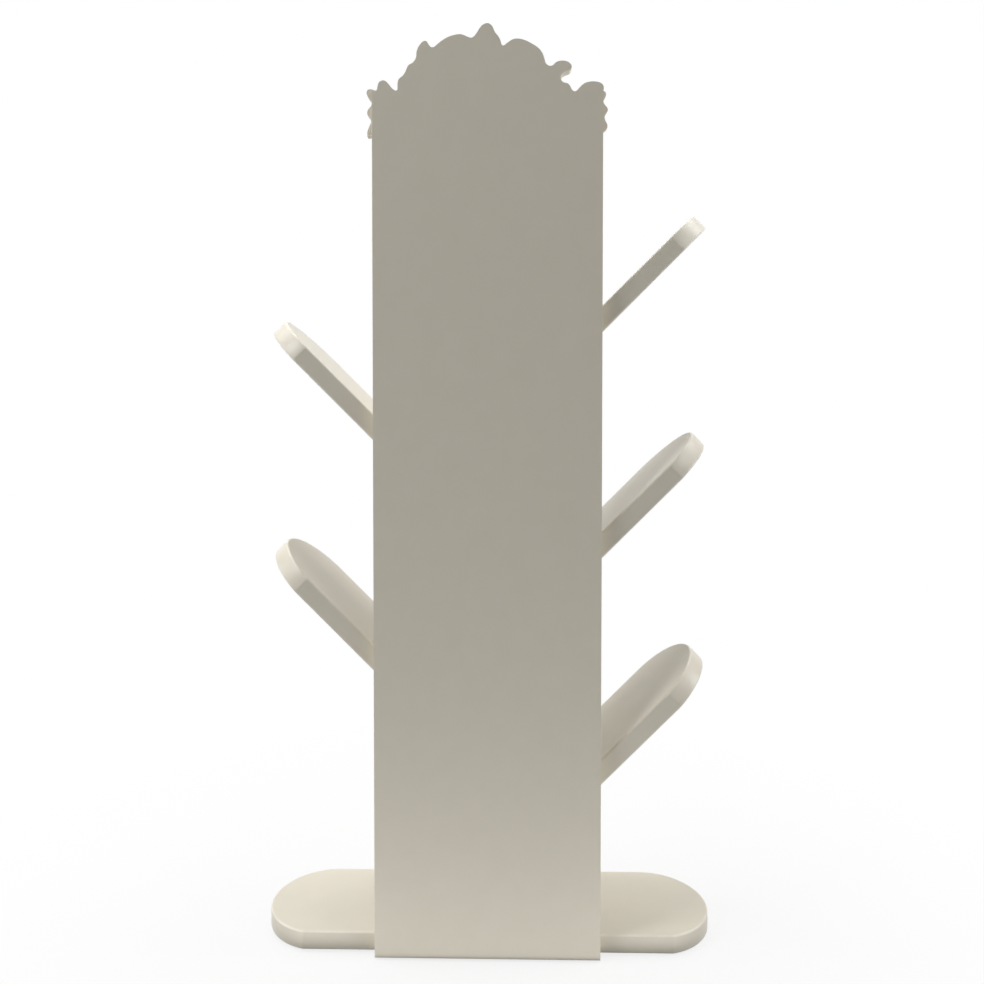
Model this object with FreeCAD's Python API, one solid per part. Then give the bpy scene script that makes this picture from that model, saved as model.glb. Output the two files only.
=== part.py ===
import FreeCAD, Part
import math
import os

# A tabletop book rack, in millimetres. +Z is up and -Y is the front, where the books stand.
# The origin is on the table, under the middle of the rack.

# Back panel: a flat board with straight sides and a crest of leaves and petals
panel_width = 178.0
panel_thickness = 9.0
panel_side_height = 677.0

# Boards of the five shelves and of the base
board_thickness = 15.0
board_depth = 98.0
board_back_trim = 1.8  # planed off the back edge of a full-round board, which leaves a corner there
board_edge_chamfer = 1.5
base_length = 370.0

# Shelves: each starts near the panel's middle and rises to one side, by turns
shelf_slope = 45.0
shelf_reach = 128.0  # from the panel's side to the crown of the round end, along the underside
shelf_1_height = 45.0  # height of the underside on the panel's centre line, above the base's underside
shelf_2_height = 135.0
shelf_3_height = 225.5
shelf_4_height = 318.5
shelf_5_height = 403.5

# Wooden dowels, glued into blind holes
dowel_diameter = 6.0
dowel_glue_gap = 0.1
dowel_end_gap = 0.5
dowel_flute_count = 8
dowel_flute_depth = 0.3
panel_hole_skin = 3.0  # wood left between a hole and the panel's back
board_hole_skin = 5.0  # wood left under a hole in a board's upper face
edge_hole_depth = 20.0  # into a board's back edge or low end
shelf_dowel_margin = 30.0  # from the shelf's low end, and from the panel's side, to the first dowel
shelf_dowel_count = 2
base_dowel_spacing = 100.0
base_dowel_count = 2
joint_dowel_inset = 30.0  # from the board's front and back edges

# Square felt pads under the base
pad_width = 20.0
pad_thickness = 2.0
pad_end_inset = 40.0  # from the base's end to the pad's middle
pad_edge_inset = 22.0  # from the base's front and back edges to the pad's middle

# Carved trim on the panel's front
carving_thickness = 4.0
carving_overlap = 0.5  # how far the raised leaves and petals are sunk into their ground
petal_count = 5
petal_height = 3.0
petal_ring = 1.2  # distance from the flower's middle to a petal's, in petal sizes
bud_height = 4.5
bud_share = 0.6  # size of the bud, in petal sizes
leaf_half_width = 5.5
leaf_height = 3.5
facet_count = 6  # sides of a leaf, a petal or a bud
facet_top = 0.4  # size of its flat top, next to its foot

# The crest's outline is made of arcs, within this distance of a smooth curve
crest_arc_tolerance = 0.4

# The crest, lobe by lobe: distance from the centre line, and height above the panel's sides
broad_petal = ((-89.0, 0.0), (-88.7, 4.2), (-86.0, 5.8), (-81.0, 7.1), (-75.0, 6.0), (-71.4, 3.6))
folded_leaf = ((-67.2, -0.4), (-64.8, 1.4), (-62.6, 5.1), (-58.4, 6.6))
side_leaf = ((-56.4, 12.0), (-60.2, 15.0), (-63.9, 16.6), (-64.9, 18.2), (-62.8, 21.6), (-57.0, 23.1),
             (-52.0, 21.6))
right_bloom = ((-47.8, 19.3), (-44.6, 22.3), (-43.1, 27.2), (-36.7, 34.4), (-23.7, 40.1), (-16.2, 37.8))
top_leaf = ((-11.9, 34.8), (-9.9, 39.5), (-5.5, 46.0), (-3.4, 50.8), (-0.8, 52.0), (5.5, 48.8))
left_bloom = ((12.2, 41.0), (16.6, 42.7), (21.0, 43.9), (26.4, 42.9), (37.0, 37.6))
tall_leaf = ((43.1, 34.2), (47.6, 39.0), (52.2, 35.7), (54.7, 30.6))
stepped_leaf = ((56.2, 23.2), (60.4, 20.9), (64.4, 13.6), (68.3, 10.2))
curled_leaf = ((70.0, 1.3), (74.0, 3.8), (78.2, 8.7), (81.1, 9.8), (83.8, 7.4))
crest_end = ((85.6, 1.5), (89.0, 1.7))

# The trim's own lobes, of which the outer ones stand out past the panel's sides, and its lower edge
inner_leaf = ((-54.0, 15.0), (-60.0, 18.6), (-61.6, 20.4), (-57.0, 22.6), (-52.0, 21.2))
left_lobes = ((86.4, 4.9), (90.4, 6.0), (93.4, 5.8), (94.4, 3.2), (90.5, -5.6), (93.6, -10.4), (93.2, -15.0),
              (91.0, -19.2), (93.3, -23.6), (94.0, -27.0), (93.7, -31.0))
right_lobes = ((-89.9, -28.0), (-93.3, -23.4), (-91.2, -16.4), (-93.9, -11.0), (-90.2, -5.6), (-92.0, 1.5))
lower_edge = ((93.7, -31.0), (86.0, -31.5), (74.0, -36.0), (50.0, -27.0), (24.0, -22.0), (0.0, -30.0),
              (-24.0, -22.0), (-50.0, -27.0), (-74.0, -33.0), (-86.0, -29.5), (-89.9, -28.0))

# Flowers as middle and petal size, leaves as tip and root
large_petal = 10.5
small_petal = 7.5
flowers = ((-25.0, 11.0, large_petal), (23.0, 15.0, large_petal), (-76.0, -13.5, small_petal),
           (76.0, -18.0, small_petal))
leaves = (((-1.0, 49.0), (-1.0, 18.0)), ((48.6, 36.0), (44.0, 2.0)), ((59.0, 20.0), (42.0, -6.0)),
          ((66.0, 8.0), (48.0, -14.0)), ((81.0, 8.0), (68.0, -12.0)), ((93.0, 4.0), (78.0, -10.0)),
          ((-60.0, 20.0), (-40.0, 13.0)), ((-62.0, 3.5), (-44.0, -8.0)), ((-58.0, -26.0), (-46.0, -4.0)),
          ((0.0, -28.0), (-1.0, 4.0)), ((56.0, -27.0), (44.0, -4.0)))

# Places worked out from the sizes above
slope = math.radians(shelf_slope)
panel_half = panel_width / 2
panel_front = (board_depth - panel_thickness) / 2
panel_back = panel_front + panel_thickness
board_front = panel_front - board_depth
end_radius = (board_depth + board_back_trim) / 2
end_middle = board_front + end_radius
end_corner = math.sqrt(board_back_trim * board_depth)  # from a round end's middle to its corner
underside = pad_thickness
base_top = underside + board_thickness
crest_level = underside + panel_side_height
crest_stretch = panel_half / -broad_petal[0][0]
shelf_crown = panel_half / math.cos(slope) + shelf_reach
hole_radius = dowel_diameter / 2
panel_hole_depth = panel_thickness - panel_hole_skin
face_hole_depth = board_thickness - board_hole_skin
carving_front = panel_front - carving_thickness
up = FreeCAD.Vector(0, 0, 1)
backward = FreeCAD.Vector(0, 1, 0)


def crest_point(place, y):
    """Point of the crest, from its distance to the centre line and its height above the sides."""
    return FreeCAD.Vector(place[0] * crest_stretch, y, crest_level + place[1])


def smooth_edges(points):
    """Smooth run through the points, as arcs that meet without a corner."""
    curve = Part.BSplineCurve()
    curve.interpolate(points)
    return [arc.toShape() for arc in curve.toBiArcs(crest_arc_tolerance)]


def line_edge(start, end):
    """Straight edge between two points."""
    return Part.LineSegment(start, end).toShape()


def arc_edge(start, middle, end):
    """Round edge through three points."""
    return Part.Arc(start, middle, end).toShape()


def flat_face(corners):
    """Flat face with straight edges between its corners."""
    return Part.Face(Part.makePolygon(corners + corners[:1]))


class Shelf:
    """A slanted board: where its underside crosses the centre line, which way it rises, what it stands on."""

    def __init__(self, height, side, seat_point, seat_normal):
        self.start = FreeCAD.Vector(0, 0, underside + height)
        self.along = FreeCAD.Vector(side * math.cos(slope), 0, math.sin(slope))
        self.normal = FreeCAD.Vector(-side * math.sin(slope), 0, math.cos(slope))
        self.seat_point = seat_point
        self.seat_normal = seat_normal

    def point(self, distance, y, level):
        """Point at a distance up the slope, at a depth, and at a level above the underside."""
        return self.start + self.along * distance + backward * y + self.normal * level

    def low_end(self, level):
        """Distance up the slope at which this level of the board meets its seat."""
        to_seat = self.seat_point - self.point(0, 0, level)
        return to_seat.dot(self.seat_normal) / self.along.dot(self.seat_normal)

    def dowel_places(self):
        """Distances up the slope of the dowels into the panel."""
        first = self.low_end(board_thickness / 2) + shelf_dowel_margin
        last = panel_half / math.cos(slope) - shelf_dowel_margin
        step = (last - first) / (shelf_dowel_count - 1)
        return [first + index * step for index in range(shelf_dowel_count)]


def build_shelf(shelf):
    """Board with a round outer end and rounded edges, cut at its low end to stand on its seat."""
    low = min(shelf.low_end(0), shelf.low_end(board_thickness)) - board_thickness
    turn = shelf_crown - end_radius
    low_back = shelf.point(low, panel_front, 0)
    corner_back = shelf.point(turn + end_corner, panel_front, 0)
    crown = shelf.point(shelf_crown, end_middle, 0)
    turn_front = shelf.point(turn, board_front, 0)
    low_front = shelf.point(low, board_front, 0)
    outline = Part.Wire([line_edge(low_back, corner_back), arc_edge(corner_back, crown, turn_front),
                         line_edge(turn_front, low_front), line_edge(low_front, low_back)])
    board = Part.Face(outline).extrude(shelf.normal * board_thickness)
    board = ease_long_edges(board, shelf.normal)
    reach = 2 * base_length
    below = Part.makeBox(reach, reach, reach, FreeCAD.Vector(-reach / 2, -reach / 2, -reach))
    below.Placement = FreeCAD.Placement(shelf.seat_point, FreeCAD.Rotation(up, shelf.seat_normal))
    return board.cut(below)


def ease_long_edges(board, normal):
    """Chamfer the upper and lower edges of a board, but not a square end."""
    edges = []
    for edge in board.Edges:
        run = edge.Vertexes[-1].Point - edge.Vertexes[0].Point
        straight = isinstance(edge.Curve, Part.Line)
        upright = straight and abs(run.dot(normal)) > board_thickness / 2
        square_end = straight and abs(run.dot(backward)) > board_depth / 2
        if not upright and not square_end:
            edges.append(edge)
    return board.makeChamfer(board_edge_chamfer, edges)


def build_base():
    """Flat board with two round ends."""
    end = base_length / 2
    turn = end - end_radius
    corner = turn + end_corner
    corners = [FreeCAD.Vector(x, y, underside) for x, y in (
        (-corner, panel_front), (corner, panel_front), (turn, board_front), (-turn, board_front))]
    crowns = [FreeCAD.Vector(x, end_middle, underside) for x in (end, -end)]
    outline = Part.Wire([line_edge(corners[0], corners[1]), arc_edge(corners[1], crowns[0], corners[2]),
                         line_edge(corners[2], corners[3]), arc_edge(corners[3], crowns[1], corners[0])])
    board = Part.Face(outline).extrude(up * board_thickness)
    return ease_long_edges(board, up)


def build_panel():
    """Flat panel with straight sides, cut to the crest at its top."""
    lobes = (broad_petal + folded_leaf + side_leaf + right_bloom + top_leaf + left_bloom + tall_leaf
             + stepped_leaf + curled_leaf + crest_end)
    crest = [crest_point(place, panel_front) for place in lobes]
    low_left = FreeCAD.Vector(panel_half, panel_front, underside)
    low_right = FreeCAD.Vector(-panel_half, panel_front, underside)
    outline = Part.Wire(smooth_edges(crest) + [line_edge(crest[-1], low_left), line_edge(low_left, low_right),
                                               line_edge(low_right, crest[0])])
    return Part.Face(outline).extrude(backward * panel_thickness)


def faceted_boss(places, height):
    """Raised form with flat facets, from its outline at its foot to a smaller copy at its top."""
    middle_x = sum(x for x, _ in places) / len(places)
    middle_z = sum(z for _, z in places) / len(places)
    top_places = [(middle_x + facet_top * (x - middle_x), middle_z + facet_top * (z - middle_z))
                  for x, z in places]
    foot = [crest_point(place, carving_front + carving_overlap) for place in places]
    top = [crest_point(place, carving_front - height) for place in top_places]
    faces = [flat_face(foot), flat_face(top)]
    for here in range(len(places)):
        after = (here + 1) % len(places)
        faces.append(flat_face([foot[here], foot[after], top[after], top[here]]))
    return Part.makeSolid(Part.makeShell(faces))


def petal(x, z, radius, height):
    """Petal or bud with an even outline."""
    turns = [2 * math.pi * index / facet_count for index in range(facet_count)]
    places = [(x + radius * math.cos(turn), z + radius * math.sin(turn)) for turn in turns]
    return faceted_boss(places, height)


def flower(x, z, petal_radius):
    """Ring of petals round a bud."""
    ring = petal_ring * petal_radius
    turns = [math.radians(90 + index * 360 / petal_count) for index in range(petal_count)]
    petals = [petal(x + ring * math.cos(turn), z + ring * math.sin(turn), petal_radius, petal_height)
              for turn in turns]
    return petals + [petal(x, z, bud_share * petal_radius, bud_height)]


def leaf(tip, root):
    """Leaf that is pointed at its tip and its root."""
    length = math.hypot(root[0] - tip[0], root[1] - tip[1])
    along = ((root[0] - tip[0]) / length, (root[1] - tip[1]) / length)
    places = []
    for index in range(facet_count):
        turn = 2 * math.pi * index / facet_count
        run = length * (1 - math.cos(turn)) / 2
        spread = leaf_half_width * math.sin(turn)
        x = tip[0] + run * along[0] - spread * along[1]
        z = tip[1] + run * along[1] + spread * along[0]
        places.append((x, z))
    return faceted_boss(places, leaf_height)


def build_carving():
    """Carved trim: a flat ground with the crest's outline, and raised flowers and leaves on it."""
    lobes = (right_lobes + broad_petal[1:] + folded_leaf + inner_leaf + right_bloom + top_leaf + left_bloom
             + tall_leaf + stepped_leaf + curled_leaf + left_lobes)
    top = [crest_point(place, panel_front) for place in lobes]
    low = [crest_point(place, panel_front) for place in lower_edge]
    outline = Part.Wire(smooth_edges(top) + smooth_edges(low))
    ground = Part.Face(outline).extrude(-backward * carving_thickness)
    raised = [leaf(tip, root) for tip, root in leaves]
    for x, z, petal_radius in flowers:
        raised += flower(x, z, petal_radius)
    return ground.multiFuse(raised).removeSplitter()


def hole(start, direction, length):
    """Drilled hole for a dowel."""
    return Part.makeCylinder(hole_radius, length, start, direction)


def dowel(start, direction, length):
    """Fluted dowel for a drilled hole: a little thinner and shorter than the hole."""
    upright = up if abs(direction.dot(up)) < abs(direction.dot(backward)) else backward
    sideways = direction.cross(upright)
    foot = start + direction * dowel_end_gap
    rim = []
    for index in range(2 * dowel_flute_count):
        turn = math.pi * index / dowel_flute_count
        radius = hole_radius - dowel_glue_gap - (index % 2) * dowel_flute_depth
        rim.append(foot + upright * radius * math.cos(turn) + sideways * radius * math.sin(turn))
    return flat_face(rim).extrude(direction * (length - 2 * dowel_end_gap))


def panel_drillings(points):
    """Holes that go from the board's back edge into the panel: start, direction and length of each."""
    start = edge_hole_depth * -backward
    return [(point + start, backward, edge_hole_depth + panel_hole_depth) for point in points]


def joint_drillings(shelf):
    """Holes that go from the board that a shelf stands on into the shelf's low end."""
    level = board_thickness / 2
    first = shelf.low_end(level) - face_hole_depth
    depths = (board_front + joint_dowel_inset, panel_front - joint_dowel_inset)
    length = face_hole_depth + edge_hole_depth
    return [(shelf.point(first, y, level), shelf.along, length) for y in depths]


def build_pads():
    """Four felt squares under the base."""
    half = pad_width / 2
    xs = (base_length / 2 - pad_end_inset, pad_end_inset - base_length / 2)
    ys = (board_front + pad_edge_inset, panel_front - pad_edge_inset)
    return Part.makeCompound([Part.makeBox(pad_width, pad_width, pad_thickness,
                                           FreeCAD.Vector(x - half, y - half, 0)) for x in xs for y in ys])


def place_shelves():
    """The five shelves from the lowest up: the first stands on the base, each other on the one below."""
    heights = (shelf_1_height, shelf_2_height, shelf_3_height, shelf_4_height, shelf_5_height)
    side = -1
    seat_point = FreeCAD.Vector(0, 0, base_top)
    seat_normal = up
    shelves = []
    for height in heights:
        shelf = Shelf(height, side, seat_point, seat_normal)
        shelves.append(shelf)
        seat_point = shelf.point(0, 0, board_thickness)
        seat_normal = shelf.normal
        side = -side
    return shelves


def build_all():
    """Every piece of the rack, by name."""
    shelves = place_shelves()
    pieces = {"back_panel": build_panel(), "crest_carving": build_carving(), "base_board": build_base(),
              "felt_pads": build_pads()}
    for number, shelf in enumerate(shelves, 1):
        pieces[f"shelf_{number}"] = build_shelf(shelf)

    first = -(base_dowel_count - 1) / 2
    base_points = [FreeCAD.Vector((first + index) * base_dowel_spacing, panel_front, underside
                                  + board_thickness / 2) for index in range(base_dowel_count)]
    drillings = {"panel_dowels_base": (("back_panel", "base_board"), panel_drillings(base_points))}
    below = "base_board"
    for number, shelf in enumerate(shelves, 1):
        name = f"shelf_{number}"
        points = [shelf.point(distance, panel_front, board_thickness / 2)
                  for distance in shelf.dowel_places()]
        drillings[f"panel_dowels_{number}"] = (("back_panel", name), panel_drillings(points))
        drillings[f"joint_dowels_{number}"] = ((below, name), joint_drillings(shelf))
        below = name

    for group, (boards, places) in drillings.items():
        holes = [hole(*place) for place in places]
        for board in boards:
            pieces[board] = pieces[board].cut(holes)
        pieces[group] = Part.makeCompound([dowel(*place) for place in places])
    return pieces


os.makedirs("parts", exist_ok=True)
for node, shape in build_all().items():
    shape.exportStep(f"parts/{node}.step")
    print(node, len(shape.Solids), "valid" if shape.isValid() else "NOT VALID", round(shape.Volume))
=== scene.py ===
"""Looks of a tabletop book rack, built round its packed construction.

Painted boards, a carved crest, felt pads and wooden dowels. Lengths are in metres, +Z is up,
and -Y is the front, where the books stand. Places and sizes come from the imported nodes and
from the named fields of the classes below.
"""

import logging
import math
from dataclasses import dataclass, field
from enum import Enum

import bmesh
import bpy
from mathutils import Matrix, Vector


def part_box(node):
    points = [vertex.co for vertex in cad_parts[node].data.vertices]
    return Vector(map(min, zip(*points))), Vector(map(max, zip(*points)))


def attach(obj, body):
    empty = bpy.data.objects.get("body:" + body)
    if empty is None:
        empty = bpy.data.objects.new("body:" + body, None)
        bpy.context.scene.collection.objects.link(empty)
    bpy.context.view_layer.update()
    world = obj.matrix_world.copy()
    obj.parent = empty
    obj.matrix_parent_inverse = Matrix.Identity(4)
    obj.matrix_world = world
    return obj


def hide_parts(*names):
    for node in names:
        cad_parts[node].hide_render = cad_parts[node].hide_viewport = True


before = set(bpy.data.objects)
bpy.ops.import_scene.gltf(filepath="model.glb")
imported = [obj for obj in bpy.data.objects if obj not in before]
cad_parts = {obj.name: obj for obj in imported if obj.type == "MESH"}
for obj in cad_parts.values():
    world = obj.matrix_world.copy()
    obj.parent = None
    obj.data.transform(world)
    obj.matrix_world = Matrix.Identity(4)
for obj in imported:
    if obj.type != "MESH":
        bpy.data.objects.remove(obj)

log = logging.getLogger("book_rack")

MM = 0.001
ROOT_BODY = "root"
PHOTO_WIDTH = 984
UP = Vector((0, 0, 1))
BACKWARD = Vector((0, 1, 0))
MERGE_DISTANCE = 0.01 * MM
SHELF_COUNT = 5
SHELF_SLOPE = math.radians(45)
SMOOTH_ANGLE = math.radians(38)
# Marks eased edges, which the paint pales, partly as wear and partly as a painted highlight.
EDGE_WEAR_HIGHLIGHT_LAYER = "rim"
# Marks the carving's hollows, which the paint darkens as a painted shade.
HOLLOW_SHADE_LAYER = "painted_hollow_shade"

Colour = tuple[float, float, float, float]
Place = tuple[float, float]

WHITE: Colour = (1, 1, 1, 1)


class Slot(Enum):
    """Names of material slots for the new pieces, handed to finish_piece, which does not use them."""

    CREAM_PAINT = "cream_paint"
    CARVING_PAINT = "carving_paint"
    FELT = "felt"


class Side(Enum):
    """The side to which a shelf rises, as the sign of X."""

    LEFT = -1
    RIGHT = 1


def linear_colour(red: int, green: int, blue: int) -> Colour:
    """Turn a colour as a screen shows it into the linear values that shaders take, by the sRGB rule.

    Args:
        red: Red, from 0 to 255.
        green: Green, from 0 to 255.
        blue: Blue, from 0 to 255.

    Returns:
        The linear colour with full alpha.
    """
    channels = []
    for level in (red, green, blue):
        share = level / 255
        channels.append(share / 12.92 if share <= 0.04045 else ((share + 0.055) / 1.055) ** 2.4)
    return (*channels, 1.0)


def smooth_step(low: float, high: float, value: float) -> float:
    """Rise smoothly from 0 at low to 1 at high.

    Args:
        low: Value at which the step starts.
        high: Value at which it ends.
        value: Value to place on the step.

    Returns:
        The height of the step there.
    """
    share = min(max((value - low) / (high - low), 0.0), 1.0)
    return share * share * (3 - 2 * share)


def reach(node: str, direction: Vector) -> tuple[float, float]:
    """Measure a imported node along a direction.

    Args:
        node: Name of the node.
        direction: Unit vector to measure along.

    Returns:
        The node's nearest and farthest distance from the origin along the direction.
    """
    distances = [vertex.co.dot(direction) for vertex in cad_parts[node].data.vertices]
    return min(distances), max(distances)


def verts_of(items: list) -> list[bmesh.types.BMVert]:
    """List the vertices among a mesh operator's results."""
    return [item for item in items if isinstance(item, bmesh.types.BMVert)]


def edges_of(items: list) -> list[bmesh.types.BMEdge]:
    """List the edges among a mesh operator's results."""
    return [item for item in items if isinstance(item, bmesh.types.BMEdge)]


def climb(edge: bmesh.types.BMEdge) -> float:
    """Difference in height between an edge's ends."""
    return abs(edge.verts[0].co.z - edge.verts[1].co.z)


def turn_outwards(shape: bmesh.types.BMesh) -> None:
    """Turn all faces of a closed shape outwards."""
    bmesh.ops.recalc_face_normals(shape, faces=shape.faces[:])


def add_object(name: str, data: bpy.types.ID) -> bpy.types.Object:
    """Add an object to the scene.

    Args:
        name: The object's name.
        data: Its mesh, light or camera.

    Returns:
        The object.
    """
    item = bpy.data.objects.new(name, data)
    bpy.context.scene.collection.objects.link(item)
    return item


class ShaderGraph:
    """A node tree with short calls to add and link nodes."""

    def __init__(self, tree: bpy.types.NodeTree) -> None:
        """Wrap a tree and empty it."""
        self.tree = tree
        tree.nodes.clear()

    def add(self, kind: str, **settings: object) -> bpy.types.Node:
        """Add a node.

        Args:
            kind: The node's type, without the leading ShaderNode.
            **settings: Properties of the node, or values of its sockets in lower case.

        Returns:
            The new node.
        """
        node = self.tree.nodes.new(kind if kind.startswith("NodeGroup") else f"ShaderNode{kind}")
        for name, value in settings.items():
            spoken = name.replace("_", " ").title()
            if spoken in node.inputs:
                self.feed(node.inputs[spoken], value)
            else:
                setattr(node, name, value)
        return node

    def feed(self, socket: bpy.types.NodeSocket, value: object) -> None:
        """Link an output to a socket, or set the socket to a plain value.

        Args:
            socket: An input of a node.
            value: An output, or a plain value.
        """
        if isinstance(value, bpy.types.NodeSocket):
            self.tree.links.new(value, socket)
        else:
            socket.default_value = value

    def math(self, operation: str, first: object, second: object) -> bpy.types.NodeSocket:
        """Work out one value from two.

        Args:
            operation: Name of the operation, such as MULTIPLY.
            first: A number or an output.
            second: A number or an output.

        Returns:
            The output with the result.
        """
        node = self.add("Math", operation=operation)
        self.feed(node.inputs[0], first)
        self.feed(node.inputs[1], second)
        return node.outputs["Value"]

    def mix(self, factor: object, first: object, second: object) -> bpy.types.NodeSocket:
        """Mix two colours.

        Args:
            factor: Share of the second colour.
            first: A colour or an output.
            second: A colour or an output.

        Returns:
            The output with the mixed colour.
        """
        node = self.add("Mix", data_type="RGBA")
        sockets = {socket.identifier: socket for socket in node.inputs}
        self.feed(sockets["Factor_Float"], factor)
        self.feed(sockets["A_Color"], first)
        self.feed(sockets["B_Color"], second)
        return next(output for output in node.outputs if output.identifier == "Result_Color")

    def noise(self, vector: bpy.types.NodeSocket, scale: float, detail: float) -> bpy.types.NodeSocket:
        """Add a noise, centred on zero.

        Args:
            vector: Output with the place.
            scale: Waves to a metre.
            detail: How many finer layers are added.

        Returns:
            The output, from about -1 to 1.
        """
        node = self.add("TexNoise", vector=vector, scale=scale, detail=detail)
        return self.math("SUBTRACT", self.math("MULTIPLY", node.outputs[0], 2.0), 1.0)

    def spots(self, vector: bpy.types.NodeSocket, scale: float, size: float) -> bpy.types.NodeSocket:
        """Add scattered spots.

        Args:
            vector: Output with the place.
            scale: Spots to a metre.
            size: Radius of a spot, in cells.

        Returns:
            The output, 0 between the spots and up to 1 at their middles.
        """
        node = self.add("TexVoronoi", vector=vector, scale=scale)
        inside = self.math("MAXIMUM", self.math("SUBTRACT", size, node.outputs["Distance"]), 0.0)
        return self.math("DIVIDE", inside, size)


@dataclass(frozen=True)
class GroupSocket:
    """A named socket of a shader node group."""

    name: str
    kind: str


class ShaderGroup:
    """A shader effect with named inputs and outputs, built once and placed in several materials."""

    name: str = ""
    inputs: tuple[GroupSocket, ...] = ()
    outputs: tuple[GroupSocket, ...] = ()

    def __init__(self) -> None:
        """Build the group."""
        self.tree = bpy.data.node_groups.new(self.name, "ShaderNodeTree")
        for sockets, way in ((self.inputs, "INPUT"), (self.outputs, "OUTPUT")):
            for socket in sockets:
                kind = f"NodeSocket{socket.kind}"
                self.tree.interface.new_socket(socket.name, in_out=way, socket_type=kind)
        graph = ShaderGraph(self.tree)
        given = graph.add("NodeGroupInput").outputs
        result = graph.add("NodeGroupOutput").inputs
        self.build(graph, given, result)

    def build(self, graph: ShaderGraph, given: object, result: object) -> None:
        """Add the group's nodes.

        Args:
            graph: The group's node tree.
            given: Sockets with the group's inputs, by name.
            result: Sockets for the group's outputs, by name.
        """
        raise NotImplementedError

    def place(self, graph: ShaderGraph, **values: object) -> object:
        """Place the group in a material.

        Args:
            graph: The material's node tree.
            **values: Numbers, colours or outputs for the group's inputs, in lower case.

        Returns:
            The group's outputs, by name.
        """
        return graph.add("Group", node_tree=self.tree, **values).outputs


class PaintFilm(ShaderGroup):
    """Sprayed paint: faint clouds in its tone, an uneven gloss and the dimples of a sprayed film."""

    name = "paint_film"
    inputs = (GroupSocket("Vector", "Vector"), GroupSocket("Paint", "Color"),
              GroupSocket("Clouds", "Float"), GroupSocket("Gloss", "Float"))
    outputs = (GroupSocket("Colour", "Color"), GroupSocket("Roughness", "Float"),
               GroupSocket("Height", "Float"))

    cloud_scale = 8.0
    cloud_detail = 3.0
    speckle_scale = 130.0
    speckle_detail = 4.0
    speckle_share = 0.5
    dimple_scale = 450.0
    dimple_detail = 2.0
    gloss_swing = 0.03

    def build(self, graph: ShaderGraph, given: object, result: object) -> None:
        """Add the group's nodes.

        Args:
            graph: The group's node tree.
            given: Sockets with the group's inputs, by name.
            result: Sockets for the group's outputs, by name.
        """
        place = given["Vector"]
        grit = graph.noise(place, self.speckle_scale, self.speckle_detail)
        speckle = graph.math("MULTIPLY", grit, self.speckle_share)
        uneven = graph.math("ADD", graph.noise(place, self.cloud_scale, self.cloud_detail), speckle)
        tone = graph.math("ADD", graph.math("MULTIPLY", uneven, given["Clouds"]), 1.0)
        tint = graph.add("HueSaturation", value=tone, color=given["Paint"])
        graph.feed(result["Colour"], tint.outputs["Color"])

        swing = graph.math("MULTIPLY", uneven, self.gloss_swing)
        graph.feed(result["Roughness"], graph.math("ADD", given["Gloss"], swing))

        graph.feed(result["Height"], graph.noise(place, self.dimple_scale, self.dimple_detail))


class TonedMask(ShaderGroup):
    """A second tone of the paint where a mask shows, broken into soft patches: paler eased edges, partly
    wear and partly a painted highlight, or painted shade in hollows.
    """

    name = "toned_mask"
    inputs = (GroupSocket("Vector", "Vector"), GroupSocket("Paint", "Color"), GroupSocket("Tone", "Color"),
              GroupSocket("Mask", "Float"), GroupSocket("Roughness", "Float"),
              GroupSocket("Change", "Float"))
    outputs = (GroupSocket("Colour", "Color"), GroupSocket("Roughness", "Float"))

    patch_scale = 55.0
    patch_detail = 3.0
    patch_swing = 0.45
    patch_level = 0.7

    def build(self, graph: ShaderGraph, given: object, result: object) -> None:
        """Add the group's nodes.

        Args:
            graph: The group's node tree.
            given: Sockets with the group's inputs, by name.
            result: Sockets for the group's outputs, by name.
        """
        noise = graph.noise(given["Vector"], self.patch_scale, self.patch_detail)
        patches = graph.math("MULTIPLY", noise, self.patch_swing)
        share = graph.math("MULTIPLY", graph.math("ADD", patches, self.patch_level), given["Mask"])
        graph.feed(result["Colour"], graph.mix(share, given["Paint"], given["Tone"]))
        change = graph.math("MULTIPLY", share, given["Change"])
        graph.feed(result["Roughness"], graph.math("ADD", given["Roughness"], change))


class FibreGrain(ShaderGroup):
    """Long streaks for wood, or short hairs for felt, along the place's own X."""

    name = "fibre_grain"
    inputs = (GroupSocket("Vector", "Vector"), GroupSocket("Pale", "Color"), GroupSocket("Dark", "Color"),
              GroupSocket("Fleck", "Color"))
    outputs = (GroupSocket("Colour", "Color"), GroupSocket("Height", "Float"))

    streak_scale = 900.0
    streak_detail = 3.0
    band_scale = 160.0
    band_detail = 2.0
    grain_swing = 0.4
    grain_level = 0.5
    fleck_scale = 420.0
    fleck_size = 0.3
    fleck_share = 0.6

    def build(self, graph: ShaderGraph, given: object, result: object) -> None:
        """Add the group's nodes.

        Args:
            graph: The group's node tree.
            given: Sockets with the group's inputs, by name.
            result: Sockets for the group's outputs, by name.
        """
        place = given["Vector"]
        streaks = graph.noise(place, self.streak_scale, self.streak_detail)
        bands = graph.noise(place, self.band_scale, self.band_detail)
        swing = graph.math("MULTIPLY", graph.math("ADD", streaks, bands), self.grain_swing)
        grain = graph.math("ADD", swing, self.grain_level)
        flecks = graph.spots(place, self.fleck_scale, self.fleck_size)
        colour = graph.mix(grain, given["Pale"], given["Dark"])
        flecked = graph.math("MULTIPLY", flecks, self.fleck_share)
        graph.feed(result["Colour"], graph.mix(flecked, colour, given["Fleck"]))
        graph.feed(result["Height"], graph.math("SUBTRACT", streaks, flecks))


@dataclass
class Effects:
    """The shader effects that the finishes share."""

    paint_film: PaintFilm = field(default_factory=PaintFilm)
    toned_mask: TonedMask = field(default_factory=TonedMask)
    fibre_grain: FibreGrain = field(default_factory=FibreGrain)


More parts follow.
